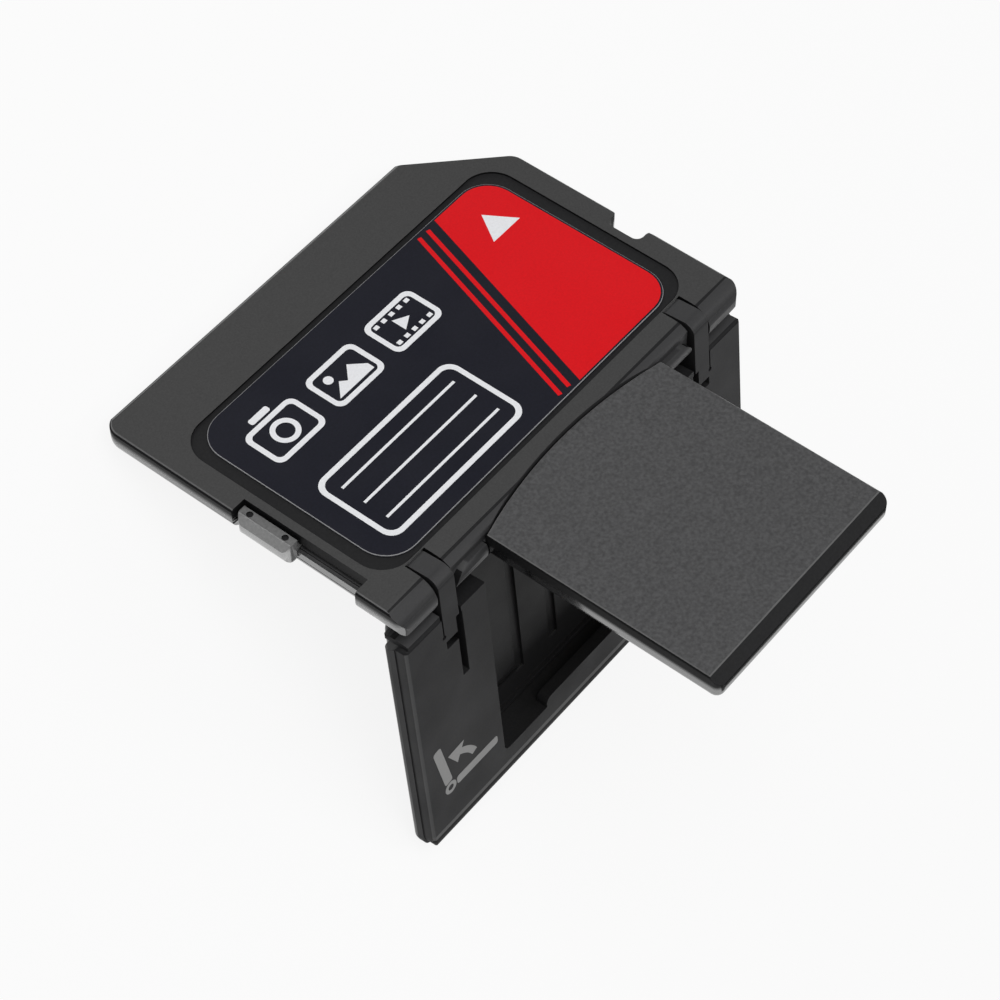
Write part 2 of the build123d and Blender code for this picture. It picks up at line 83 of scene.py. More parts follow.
label_low, label_high = flat_box("label", body_from_flat)
cover_low, cover_high = flat_box("cover", cover_from_flat)
label_size = (label_high - label_low) / MM
print("cover stands open by", round(math.degrees(open_angle)), "degrees")
print("label measures", round(label_size.x, 2), "by", round(label_size.y, 2), "mm")

# %% [markdown]
# ## Camera
#
# The photograph was taken with a long lens from above the slider's side of the card. In the flat
# card's frame the camera is nearly level, so it is given by the point it looks at, its distance, and
# three angles, and then turned with the body.

# %% Camera at the photograph's angle
camera_aim = Vector((-3.777, 0.304, 0.0)) * MM
camera_distance = 135.75 * MM
camera_azimuth = math.radians(-51.01)
camera_elevation = math.radians(52.29)
camera_roll = math.radians(-0.459)
camera_lens = 113.3

towards_camera = Vector((
    math.sin(camera_azimuth) * math.cos(camera_elevation),
    -math.cos(camera_azimuth) * math.cos(camera_elevation),
    math.sin(camera_elevation),
))
aim_turn = (-towards_camera).to_track_quat("-Z", "Y").to_matrix().to_4x4()
camera_on_flat = Matrix.Translation(camera_aim + towards_camera * camera_distance) @ aim_turn
camera_data = bpy.data.cameras.new("camera")
camera_data.sensor_width = 36.0
camera_data.lens = camera_lens
camera_data.clip_start = 1 * MM
camera_data.clip_end = 10.0
camera = bpy.data.objects.new("camera", camera_data)
camera.matrix_world = body_from_flat @ camera_on_flat @ Matrix.Rotation(camera_roll, 4, "Z")
scene.collection.objects.link(camera)
scene.camera = camera
print("camera is", round(camera.location.length / MM), "mm from the origin")

# %% [markdown]
# ## Studio
#
# The card stands on a white table under softboxes. A white floor could be had by flooding it with
# light, but that would wash out the black plastic. So the floor shows the camera a mix of plain white
# and its own shaded surface, shows plain white to a polished edge that mirrors it, and lights the card
# only as ordinary white paper would. The world is white to the camera and dim to the card, which keeps
# the label dark.


# %% Node helpers and the white floor
def empty_tree(tree):
    """Clear a node tree and give back its nodes and links."""
    tree.nodes.clear()
    return tree.nodes, tree.links


def calculate(nodes, links, operation, first, second):
    """Result of a math node on an output and on another output or a number."""
    math_node = nodes.new("ShaderNodeMath")
    math_node.operation = operation
    links.new(first, math_node.inputs[0])
    if isinstance(second, float):
        math_node.inputs[1].default_value = second
    else:
        links.new(second, math_node.inputs[1])
    return math_node.outputs[0]


floor_size = 4.0
floor_white = (0.92, 0.92, 0.92, 1)
floor_share_of_white = 0.88

floor_material = bpy.data.materials.new("white_table")
floor_material.use_nodes = True
nodes, links = empty_tree(floor_material.node_tree)
shaded = nodes.new("ShaderNodeBsdfDiffuse")
shaded.inputs["Color"].default_value = floor_white
plain_white = nodes.new("ShaderNodeEmission")
rays = nodes.new("ShaderNodeLightPath").outputs
seen = calculate(nodes, links, "MULTIPLY", rays["Is Camera Ray"], floor_share_of_white)
mirrored = calculate(nodes, links, "MAXIMUM", rays["Is Glossy Ray"], rays["Is Transmission Ray"])
mix = nodes.new("ShaderNodeMixShader")
links.new(calculate(nodes, links, "MAXIMUM", seen, mirrored), mix.inputs["Fac"])
links.new(shaded.outputs[0], mix.inputs[1])
links.new(plain_white.outputs[0], mix.inputs[2])
output = nodes.new("ShaderNodeOutputMaterial")
links.new(mix.outputs[0], output.inputs["Surface"])

floor_mesh = bpy.data.meshes.new("floor")
half_floor = floor_size / 2
floor_corners = [(-half_floor, -half_floor, 0), (half_floor, -half_floor, 0),
                 (half_floor, half_floor, 0), (-half_floor, half_floor, 0)]
floor_mesh.from_pydata(floor_corners, [], [(0, 1, 2, 3)])
floor_mesh.materials.append(floor_material)
floor = bpy.data.objects.new("floor", floor_mesh)
scene.collection.objects.link(floor)
print("floor is", floor_size, "m square")

# %% World and softboxes
world_dim = 0.22


def soft_box(name, place, size, power):
    """Rectangular area lamp at a place in millimetres, turned to the hinge."""
    lamp = bpy.data.lights.new(name, "AREA")
    lamp.shape = "RECTANGLE"
    lamp.size = size[0] * MM
    lamp.size_y = size[1] * MM
    lamp.energy = power
    box = bpy.data.objects.new(name, lamp)
    location = Vector(place) * MM
    turn = (hinge_place - location).to_track_quat("-Z", "Y").to_matrix().to_4x4()
    box.matrix_world = Matrix.Translation(location) @ turn
    scene.collection.objects.link(box)


world = bpy.data.worlds.new("studio")
world.use_nodes = True
nodes, links = empty_tree(world.node_tree)
dim = nodes.new("ShaderNodeBackground")
dim.inputs["Strength"].default_value = world_dim
bright = nodes.new("ShaderNodeBackground")
rays = nodes.new("ShaderNodeLightPath")
mix = nodes.new("ShaderNodeMixShader")
links.new(rays.outputs["Is Camera Ray"], mix.inputs["Fac"])
links.new(dim.outputs[0], mix.inputs[1])
links.new(bright.outputs[0], mix.inputs[2])
output = nodes.new("ShaderNodeOutputWorld")
links.new(mix.outputs[0], output.inputs["Surface"])
scene.world = world

soft_box("top_softbox", (-60, 110, 400), (300, 300), 1.0)
soft_box("hinge_softbox", (190, -130, 330), (120, 120), 0.14)
soft_box("back_strip", (-90, 290, 95), (220, 40), 0.12)
print("lamps:", [lamp.name for lamp in bpy.data.lights])

# %% [markdown]
# ## Moulded plastic
#
# Every moulding but the grey slider is black plastic. The surfaces are told apart by the mould's own
# finish and by painted light and shade. The faces come from spark-eroded steel and are a fine matt
# grey.
# The inner walls are dull and black. The label's recess, the floors and walls inside the cover, the
# plug's lead-in and the slider's dimples are dull and painted a dark grey as shade. The sides are dull
# below the face and grow to a polish that mirrors the white table lower down. The upper part of the
# narrow chamfers round the faces is painted a lighter grey as a thin highlight line. The end of the
# cover's front is painted with a light line and a dark strip, and the slider's slope and rim are
# painted lighter than its top as highlight. One recipe makes them all. A fine noise on the piece's own
# coordinates moves the colour and the roughness and raises the grain. A bevel node rounds each sharp
# edge by a few hundredths of a millimetre, as no moulded edge is quite sharp. A clear coat, weighted by
# the height on the flat card, is the polish.


# %% A recipe for plastic
def from_screen(red, green, blue):
    """Linear colour of a colour given as 0 to 255 on a screen, by the screen's standard curve."""
    linear = []
    for level in (red / 255, green / 255, blue / 255):
        linear.append(level / 12.92 if level <= 0.04045 else ((level + 0.055) / 1.055) ** 2.4)
    return (*linear, 1)


def scaled(colour, factor):
    """Colour made lighter or darker by a factor."""
    return (*[min(level * factor, 1) for level in colour[:3]], 1)


def noise_on_piece(nodes, links, size, detail=3.0, stretch=(1, 1, 1)):
    """Noise of a given feature size in millimetres on the piece's own coordinates."""
    place = nodes.new("ShaderNodeTexCoord")
    mapping = nodes.new("ShaderNodeMapping")
    mapping.inputs["Scale"].default_value = stretch
    links.new(place.outputs["Object"], mapping.inputs["Vector"])
    noise = nodes.new("ShaderNodeTexNoise")
    noise.inputs["Scale"].default_value = 1 / (size * MM)
    noise.inputs["Detail"].default_value = detail
    links.new(mapping.outputs[0], noise.inputs["Vector"])
    return noise.outputs["Fac"]


noise_low = 0.3
noise_high = 0.7


def spread(nodes, links, factor, low, high):
    """Noise factor mapped to run between two values, with the middle of the noise stretched."""
    ranged = nodes.new("ShaderNodeMapRange")
    ranged.inputs["From Min"].default_value = noise_low
    ranged.inputs["From Max"].default_value = noise_high
    ranged.inputs["To Min"].default_value = low
    ranged.inputs["To Max"].default_value = high
    links.new(factor, ranged.inputs["Value"])
    return ranged.outputs["Result"]


def between(nodes, links, factor, first, second):
    """Colour that runs between two colours with a factor."""
    mix = nodes.new("ShaderNodeMix")
    mix.data_type = "RGBA"
    mix.inputs["A"].default_value = first
    mix.inputs["B"].default_value = second
    links.new(factor, mix.inputs["Factor"])
    return mix.outputs["Result"]


roughness_sway = 0.1


def uneven(nodes, links, factor, roughness):
    """Roughness that sways a little to both sides with a noise factor."""
    least = roughness * (1 - roughness_sway)
    most = roughness * (1 + roughness_sway)
    return spread(nodes, links, factor, least, most)


rounding_samples = 6


def rounded_grain(nodes, links, grain, height, edge_radius):
    """Normal with its sharp edges rounded and a fine grain of a height in millimetres on it."""
    rounding = nodes.new("ShaderNodeBevel")
    rounding.samples = rounding_samples
    rounding.inputs["Radius"].default_value = edge_radius * MM
    bump = nodes.new("ShaderNodeBump")
    bump.inputs["Distance"].default_value = height * MM
    links.new(grain, bump.inputs["Height"])
    links.new(rounding.outputs["Normal"], bump.inputs["Normal"])
    return bump.outputs["Normal"]


def polish_share(nodes, links, upper, lower):
    """0 above one level on the flat body, 1 below another, in millimetres, and a run between."""
    to_flat = body_from_flat.inverted()
    place = nodes.new("ShaderNodeTexCoord")
    flat = nodes.new("ShaderNodeMapping")
    flat.inputs["Location"].default_value = to_flat.translation
    flat.inputs["Rotation"].default_value = to_flat.to_euler()
    links.new(place.outputs["Object"], flat.inputs["Vector"])
    axes = nodes.new("ShaderNodeSeparateXYZ")
    links.new(flat.outputs[0], axes.inputs[0])
    run = nodes.new("ShaderNodeMapRange")
    run.interpolation_type = "SMOOTHSTEP"
    run.inputs["From Min"].default_value = lower * MM
    run.inputs["From Max"].default_value = upper * MM
    run.inputs["To Min"].default_value = 1
    run.inputs["To Max"].default_value = 0
    links.new(axes.outputs["Z"], run.inputs["Value"])
    return run.outputs["Result"]


polish_roughness = 0.1
polish_ior = 2.8
cloud_size = 2.5


def plastic(name, colour, roughness, grain_size, grain_height, speckle=0.12, gloss=0.5,
            edge_radius=0.03, polish_levels=None):
    """Moulded plastic whose grain is given by its size and height in millimetres."""
    material = bpy.data.materials.new(name)
    material.use_nodes = True
    nodes, links = empty_tree(material.node_tree)
    shader = nodes.new("ShaderNodeBsdfPrincipled")
    shader.inputs["Specular IOR Level"].default_value = gloss
    if polish_levels is not None:
        links.new(polish_share(nodes, links, *polish_levels), shader.inputs["Coat Weight"])
    shader.inputs["Coat Roughness"].default_value = polish_roughness
    shader.inputs["Coat IOR"].default_value = polish_ior
    grain = noise_on_piece(nodes, links, grain_size)
    clouds = noise_on_piece(nodes, links, cloud_size)
    tone = spread(nodes, links, grain, 0, 1)
    pale = between(nodes, links, tone, scaled(colour, 1 - speckle), scaled(colour, 1 + speckle))
    links.new(pale, shader.inputs["Base Color"])
    links.new(uneven(nodes, links, clouds, roughness), shader.inputs["Roughness"])
    normal = rounded_grain(nodes, links, grain, grain_height, edge_radius)
    links.new(normal, shader.inputs["Normal"])
    links.new(normal, shader.inputs["Coat Normal"])
    output = nodes.new("ShaderNodeOutputMaterial")
    links.new(shader.outputs[0], output.inputs["Surface"])
    return material


print("the polish has a refractive index of", polish_ior)

# %% The finishes of the mouldings
# A polish grows from nothing to full between two levels on the flat body, in millimetres.
shell_polish = (0.8, 0.35)
plug_polish = (0.5, 0.2)
deep_black = from_screen(20, 20, 21)
eroded_face = plastic("eroded_face", from_screen(62, 62, 62), 0.6, 0.09, 0.004, speckle=0.14)
satin = plastic("satin", from_screen(60, 60, 61), 0.45, 0.12, 0.001, speckle=0.06, gloss=0.35)
# Dull black for the walls, and painted shade on the strip at the end of the cover's front.
dull_wall_and_nose_shade = plastic("dull_wall_and_nose_shade", deep_black, 0.5, 0.12, 0.001, gloss=0.1)
# Painted shade on a dull finish: the label's recess, the floors and walls inside the cover, the plug's
# lead-in and the slider's dimples are painted a dark grey where shade falls.
recess_painted_shade = plastic("recess_painted_shade", from_screen(38, 38, 39), 0.5, 0.12, 0.002, gloss=0.15)
# Painted highlight: the upper part of each chamfer on the shells and the plug is a lighter grey, as a
# thin light line.
chamfer_painted_highlight = plastic("chamfer_painted_highlight", from_screen(96, 96, 96), 0.4, 0.1, 0.001, speckle=0.06)
shell_side = plastic("shell_side", deep_black, 0.5, 0.12, 0.0004, gloss=0.15, edge_radius=0.05,
                     polish_levels=shell_polish)
plug_side = plastic("plug_side", deep_black, 0.5, 0.12, 0.0004, gloss=0.15, edge_radius=0.05,
                    polish_levels=plug_polish)
polished_edge = plastic("polished_edge", deep_black, 0.3, 0.3, 0.0004, gloss=0.25, edge_radius=0.015)
cover_front = plastic("cover_front", from_screen(58, 58, 59), 0.6, 0.12, 0.001, speckle=0.06,
                      gloss=0.15)
# Painted highlight: a lighter line across the end of the cover's front.
nose_painted_highlight = plastic("nose_painted_highlight", from_screen(80, 80, 80), 0.45, 0.12, 0.001, speckle=0.06, gloss=0.3)
plug_grain = plastic("plug_grain", from_screen(76, 76, 77), 0.6, 0.16, 0.008, speckle=0.3)
slider_top = plastic("slider_top", from_screen(112, 112, 112), 0.4, 0.15, 0.004, speckle=0.15)
# Painted highlight: the slider's slope and its polished rim are a lighter grey than its top.
slider_slope_painted_highlight = plastic("slider_slope_painted_highlight", from_screen(134, 134, 134), 0.3, 0.15, 0.001)
slider_rim_painted_highlight = plastic("slider_rim_painted_highlight", from_screen(134, 134, 134), 0.2, 0.3, 0.0005, edge_radius=0.1,
                     polish_levels=shell_polish)
print("plastics:", [material.name for material in bpy.data.materials if material.name != "white_table"])

# %% [markdown]
# ## Dressing the mouldings
#
# A imported node is a mesh of loose triangles, which shades flat and takes one finish. So each moulding
# is shown as a copy with its corners merged, shaded smooth except where two faces meet at an angle.
# Each face takes the finish of the mould wall that formed it, or a painted highlight or painted shade.
# That is read from the way the face points on the flat card and from how deep and where it lies. Where
# a finish ends part of the way along a face, the copy is first cut along that line. The node itself
# stays underneath, hidden.

# %% A smooth copy of a moulding
merge_distance = 0.0002 * MM
flat_angle = math.radians(0.3)
sharp_angle = math.radians(28)
lengthwise = Vector((0, 1, 0))
upwards = Vector((0, 0, 1))


def show_piece(name, mesh, body):
    """Put a mesh in the scene as a piece that moves with a body."""
    piece = bpy.data.objects.new(name, mesh)
    scene.collection.objects.link(piece)
    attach(piece, body)
    return piece


def cut_across(form, from_flat, way, distance):
    """Add edges where a plane of the flat card crosses the faces, so that a finish can end there."""
    everything = list(form.verts) + list(form.edges) + list(form.faces)
    on_plane = from_flat @ (way * distance * MM)
    bmesh.ops.bisect_plane(form, geom=everything, dist=merge_distance, plane_co=on_plane,
                           plane_no=from_flat.to_3x3() @ way)


def dress_moulding(node, body, from_flat, finishes, choose, cuts=()):
    """Show a node as a smooth copy, with the finish that choose names for each face."""
    form = bmesh.new()
    form.from_mesh(frame["nodes"][node].data)
    bmesh.ops.remove_doubles(form, verts=form.verts, dist=merge_distance)
    to_flat = from_flat.inverted()
    for way, distance in cuts:
        cut_across(form, from_flat, way, distance)
    names = list(finishes)
    for face in form.faces:
        place = to_flat @ face.calc_center_median() / MM
        way = to_flat.to_3x3() @ face.normal
        face.material_index = names.index(choose(place, way))
        face.smooth = True
    bmesh.ops.dissolve_limit(form, angle_limit=flat_angle, verts=form.verts, edges=form.edges,
                             delimit={"MATERIAL"})
    mesh = bpy.data.meshes.new(node + "_dressed")
    form.to_mesh(mesh)
    form.free()
    mesh.set_sharp_from_angle(angle=sharp_angle)
    for name in names:
        mesh.materials.append(finishes[name])
    piece = show_piece(node + "_dressed", mesh, body)
    flat_faces = piece.modifiers.new("flat_faces_stay_flat", "WEIGHTED_NORMAL")
    flat_faces.keep_sharp = True
    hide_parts(node)
    print(node, "dressed with", names)


# %% Where each finish goes
# Levels, walls and ends are in millimetres on the flat card. The others are parts of a unit direction.
mostly = 0.5
half_thickness = 1.05
face_level = half_thickness - 0.02
recess_level = half_thickness - 0.13
round_end = 1.1
facing = 0.97
leaning = 0.06
lead_in_lean = 0.3
outer_wall = 11.25
front_wall = 11.0
cover_end = cover_low.y / MM
# The end of the cover's front is cut into a painted highlight line and, beyond it, a strip painted dark
# as shade.
nose_start = cover_end + 1.16
nose_edge = cover_end + 0.9
nose_level = half_thickness - 0.15
# Above these two levels a chamfer is painted as a highlight line.
edge_level = half_thickness - 0.05
plug_edge_level = half_thickness - 0.14


def common_finish(way):
    """What lies flat is satin, chamfers take the edge finish, roundings below polished and walls dull.
    """
    if abs(way.z) > facing:
        return "satin"
    if way.z > leaning:
        return "edge"
    return "side" if way.z < -leaning else "wall"


def shell_finish(place, way):
    """Eroded faces, painted highlight chamfers, a painted shade recess, polished sides, a satin end."""
    if abs(way.z) > facing and place.z * way.z > face_level:
        return "face"
    if way.z > facing and place.z > recess_level:
        return "recess"
    if abs(way.x) < mostly and place.y < round_end:
        return "satin"
    finish = common_finish(way)
    # Below the highlight level a chamfer is a dull wall.
    if finish == "edge" and place.z < edge_level:
        return "wall"
    at_side = abs(place.x) > outer_wall and place.x * way.x > 0
    at_front = place.y > front_wall and way.y > mostly
    return "side" if finish == "wall" and (at_side or at_front) else finish


def cover_finish(place, way):
    """Matt front, painted highlight and shade at its end, eroded back, painted shade floor, satin arms.
    """
    # The end of the front: a painted highlight line, then a painted shade strip.
    if way.z > leaning and place.z > nose_level and place.y < nose_start:
        return "nose painted highlight" if place.y > nose_edge else "nose painted shade"
    if way.z > facing and place.z > face_level:
        return "front"
    if way.z < -facing and place.z < -face_level:
        return "face"
    if abs(way.x) < mostly and place.y > -round_end:
        return "satin"
    if way.z > facing:
        return "recess"
    return common_finish(way)


def plug_finish(place, way):
    """The top is grained with a painted highlight edge, the lead-in painted shade and the side
    polished.
    """
    if way.z > facing:
        return "face"
    if way.z > leaning and place.z > plug_edge_level:
        return "edge"
    # The sloping lead-in is painted dark as shade.
    if way.z > lead_in_lean and way.y < -mostly:
        return "recess"
    if way.z < -facing:
        return "satin"
    return "wall" if way.z > leaning else "side"


slider_low, slider_high = flat_box("write_protect_slider", body_from_flat)
dimple_reach = 0.2
dimple_inset = 0.46
dimple_half_spacing = 1.0
dimple_x = slider_low.x / MM + dimple_inset
slider_middle = (slider_low.y + slider_high.y) / 2 / MM
sunk_depth = 0.01
print("middle of the slider is", round(slider_middle, 2), "mm from the hinge")


def slider_finish(place, way):
    """The dimples are painted shade, the slope and the polished sides and foot a painted highlight."""
    sunk = place.z < slider_high.z / MM - sunk_depth
    for side in (-1, 1):
        dimple = Vector((dimple_x, slider_middle + side * dimple_half_spacing))
        if sunk and (place.xy - dimple).length < dimple_reach:
            return "dimple"
    if way.z > facing:
        return "top"
    return "slope" if way.z > leaning else "rim"


# %% Body shells, cover, plug and slider
# On the shells and the plug, the recess finish is painted shade and the edge finish a painted
# highlight.
shell_finishes = {
    "face": eroded_face,
    "satin": satin,
    "recess": recess_painted_shade,
    "edge": chamfer_painted_highlight,
    "wall": dull_wall_and_nose_shade,
    "side": shell_side,
}
cover_finishes = {
    **shell_finishes,
    "front": cover_front,
    "edge": satin,
    # The end of the cover's front takes a painted highlight line and a painted shade strip.
    "nose painted highlight": nose_painted_highlight,
    "nose painted shade": dull_wall_and_nose_shade,
    "wall": recess_painted_shade,
    "side": polished_edge,
}
plug_finishes = {**shell_finishes, "face": plug_grain, "side": plug_side}
slider_finishes = {"top": slider_top, "slope": slider_slope_painted_highlight, "rim": slider_rim_painted_highlight, "dimple": recess_painted_shade}

for node in ("top_shell", "bottom_shell"):
    dress_moulding(node, "card", body_from_flat, shell_finishes, shell_finish,
                   cuts=[(upwards, edge_level)])
dress_moulding("cover", "cover", cover_from_flat, cover_finishes, cover_finish,
               cuts=[(lengthwise, nose_start), (lengthwise, nose_edge)])
dress_moulding("plug_cap", "card", body_from_flat, plug_finishes, plug_finish,
               cuts=[(upwards, plug_edge_level)])
dress_moulding("write_protect_slider", "switch", body_from_flat, slider_finishes,
               slider_finish)

# %% [markdown]
# ## Label
#
# The label is a printed film, cut with rounded corners and stuck in the recess. Its cut edge shows
# the pale core of the film as a thin light line. The film is a copy of its node with a narrow bevel,
# and the bevel's faces take the pale finish. The print on it could be painted in the material, but
# thin pads of ink keep crisp edges at any distance, so each motif is a closed sheet of ink 8
# micrometres thick: a slanted red field with pinstripes, three plain signs for what the card holds, a
# frame to write in and a mark for the way in.

# %% Film and inks
film_bevel = 0.035
film_bevel_steps = 2
round_profile = 0.5
film_flat_angle = math.radians(1)


def ink(name, colour, roughness):
    """Printed ink, a little uneven."""
    return plastic(name, colour, roughness, 0.1, 0.0006, speckle=0.04, gloss=0.25, edge_radius=0.004)


navy_film = plastic("navy_film", from_screen(24, 25, 36), 0.42, 0.1, 0.001, speckle=0.15, gloss=0.3)
film_core = plastic("film_core", from_screen(150, 150, 152), 0.5, 0.1, 0.001)
white_ink = ink("white_ink", from_screen(246, 247, 250), 0.45)
red_ink = ink("red_ink", from_screen(230, 16, 26), 0.45)
grey_ink = ink("grey_ink", from_screen(165, 165, 165), 0.5)


def make_label():
    """Copy of the label with a narrow bevel that shows the film's core."""
    form = bmesh.new()
    form.from_mesh(frame["nodes"]["label"].data)
    bmesh.ops.remove_doubles(form, verts=form.verts, dist=merge_distance)
    bmesh.ops.dissolve_limit(form, angle_limit=film_flat_angle, verts=form.verts, edges=form.edges)
    face_way = body_from_flat.to_3x3() @ Vector((0, 0, 1))
    upper = [face for face in form.faces if face.normal.dot(face_way) > facing]
    rim = list({edge for face in upper for edge in face.edges})
    made = bmesh.ops.bevel(form, geom=rim, offset=film_bevel * MM, segments=film_bevel_steps,
                           profile=round_profile, affect="EDGES", material=1)
    for face in form.faces:
        if face not in made["faces"]:
            face.material_index = 0
    mesh = bpy.data.meshes.new("label_film")
    form.to_mesh(mesh)
    form.free()
    mesh.materials.append(navy_film)
    mesh.materials.append(film_core)
    piece = show_piece("label_film", mesh, "card")
    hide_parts("label")
    print("label film has", len(mesh.polygons), "faces")


make_label()

# %% [markdown]
# Outlines are lists of points in millimetres. A filled motif is pulled up into a flat pad, and a line
# motif is the band between two outlines with as many points each.

# %% Pads and bands of ink
ink_thickness = 0.008
arc_steps = 8
ring_steps = 40


def arc(middle, radius, start, end, steps=arc_steps):
    """Points on an arc between two angles in degrees."""
    points = []
    for step in range(steps + 1):
        angle = math.radians(start + (end - start) * step / steps)
        points.append((middle[0] + radius * math.cos(angle), middle[1] + radius * math.sin(angle)))
    return points


def rounded_box(middle, width, height, radius):
    """Outline of a rectangle with round corners."""
    x = width / 2 - radius
    y = height / 2 - radius
    points = []
    for side_x, side_y, start in ((1, 1, 0), (-1, 1, 90), (-1, -1, 180), (1, -1, 270)):
        centre = (middle[0] + side_x * x, middle[1] + side_y * y)
        points += arc(centre, radius, start, start + 90)
    return points


def ring_of(middle, radius):
    """Outline of a circle."""
    return arc(middle, radius, 0, 360, ring_steps)[:-1]


def add_pad(form, outline):
    """Closed flat pad on an outline."""
    low = [form.verts.new((x, y, 0)) for x, y in outline]
    high = [form.verts.new((x, y, ink_thickness)) for x, y in outline]
    form.faces.new(list(reversed(low)))
    form.faces.new(high)
    for here in range(len(outline)):
        there = (here + 1) % len(outline)
        form.faces.new((low[here], low[there], high[there], high[here]))


def add_band(form, outer, inner):
    """Closed flat band between two outlines."""
    loops = []
    for outline, height in ((outer, 0), (outer, ink_thickness), (inner, ink_thickness), (inner, 0)):
        loops.append([form.verts.new((x, y, height)) for x, y in outline])
    for first, second in zip(loops, loops[1:] + loops[:1]):
        for here in range(len(outer)):
            there = (here + 1) % len(outer)
            form.faces.new((first[here], first[there], second[there], second[here]))


def print_motif(name, pads, bands, material, place, body):
    """Show pads and bands of ink at a place on the card."""
    form = bmesh.new()
    for outline in pads:
        add_pad(form, outline)
    for outer, inner in bands:
        add_band(form, outer, inner)
    bmesh.ops.recalc_face_normals(form, faces=form.faces)
    mesh = bpy.data.meshes.new(name)
    form.to_mesh(mesh)
    form.free()
    mesh.transform(place @ Matrix.Scale(MM, 4))
    mesh.materials.append(material)
    show_piece(name, mesh, body)
    print(name, "has", len(pads), "pads and", len(bands), "bands")


label_middle = (label_low + label_high) / 2
label_middle.z = label_high.z
label_place = body_from_flat @ Matrix.Translation(label_middle)
print("middle of the print stands", round(label_place.translation.z / MM, 2), "mm above the table")

# %% [markdown]
# The red field fills the slanted end of the label. Its right-hand corners follow the film's own, a
# little inside its edge.

# %% Red field and the mark for the way in
field_margin = 0.12
field_corner = 1.48
field_foot = 3.0
field_slant = 3.4
field_right = label_size.x / 2 - field_margin
field_top = label_size.y / 2 - field_margin
field_outline = [(field_foot, -field_top)]
field_outline += arc((field_right - field_corner, -field_top + field_corner), field_corner, -90, 0)
field_outline += arc((field_right - field_corner, field_top - field_corner), field_corner, 0, 90)
field_outline += [(field_foot + field_slant, field_top)]
print_motif("red_field", [field_outline], [], red_ink, label_place, "card")

mark_place = label_place @ Matrix.Translation(Vector((0, 0, ink_thickness * MM)))
mark_middle = (8.0, 3.3)
mark_width = 1.9
mark_height = 1.5
mark = [
    (mark_middle[0] - mark_width / 2, mark_middle[1] - mark_height / 2),
    (mark_middle[0] + mark_width / 2, mark_middle[1] - mark_height / 2),
    (mark_middle[0], mark_middle[1] + mark_height / 2),
]
print_motif("way_in_mark", [mark], [], white_ink, mark_place, "card")

# %% [markdown]
# Three signs say what the card is for: a camera, a picture and a strip of film. They are drawn with
# one line width, like a set.

# %% Signs for camera, picture and film
sign_line = 0.26
sign_width = 3.2
sign_height = 2.3
sign_corner = 0.45
sign_row = 2.75
sign_pitch = 4.0
camera_x = -7.2
picture_x = camera_x + sign_pitch
film_x = picture_x + sign_pitch
inner_corner_share = 0.7
hump_shift = -0.1
hump_rise = 0.3
hump_middle = (hump_shift, sign_height / 2 + hump_rise)
hump_width = 1.2
hump_height = 0.34
hump_corner = 0.12
lens_radius = 0.7
sun_middle = (-0.7, 0.38)
sun_radius = 0.24
hill_foot = [(-1.15, -0.72), (1.15, -0.72)]
hill_ridge = [(1.15, -0.35), (0.5, 0.35), (-0.15, -0.3), (-0.45, -0.02)]
play_outline = [(-0.3, -0.42), (0.45, 0), (-0.3, 0.42)]


def frame_band(middle, width, height, radius):
    """Outer and inner outline of a frame, drawn with the line of the signs."""
    outer = rounded_box(middle, width, height, radius)
    inner_radius = radius - sign_line * inner_corner_share
    inner = rounded_box(middle, width - 2 * sign_line, height - 2 * sign_line, inner_radius)
    return outer, inner


def on_sign(points, sign_x):
    """Points given from the middle of a sign, moved to its place in the row."""
    return [(sign_x + x, sign_row + y) for x, y in points]


hump = on_sign(rounded_box(hump_middle, hump_width, hump_height, hump_corner), camera_x)
lens_middle = (camera_x, sign_row)
lens_ring = (ring_of(lens_middle, lens_radius), ring_of(lens_middle, lens_radius - sign_line))
sun = on_sign(ring_of(sun_middle, sun_radius), picture_x)
hill = on_sign(hill_foot + hill_ridge, picture_x)
play = on_sign(play_outline, film_x)
sign_frames = [frame_band((x, sign_row), sign_width, sign_height, sign_corner)
               for x in (camera_x, picture_x, film_x)]
print_motif("content_signs", [hump, sun, hill, play], sign_frames + [lens_ring], white_ink,
            label_place, "card")

note_middle = (-4.3, -2.5)
note_width = 9.2
note_height = 4.6
note_corner = 0.7
note_frame = frame_band(note_middle, note_width, note_height, note_corner)
print_motif("note_frame", [], [note_frame], white_ink, label_place, "card")

# %% [markdown]
# What repeats in the print, such as ruled lines, pinstripes and the film's perforations, is a row of
# equal bars. A small Geometry Nodes tree makes such a row from its count, pitch, bar size and turn, so
# that each row is one set of numbers, and the result is then fixed as a plain mesh.


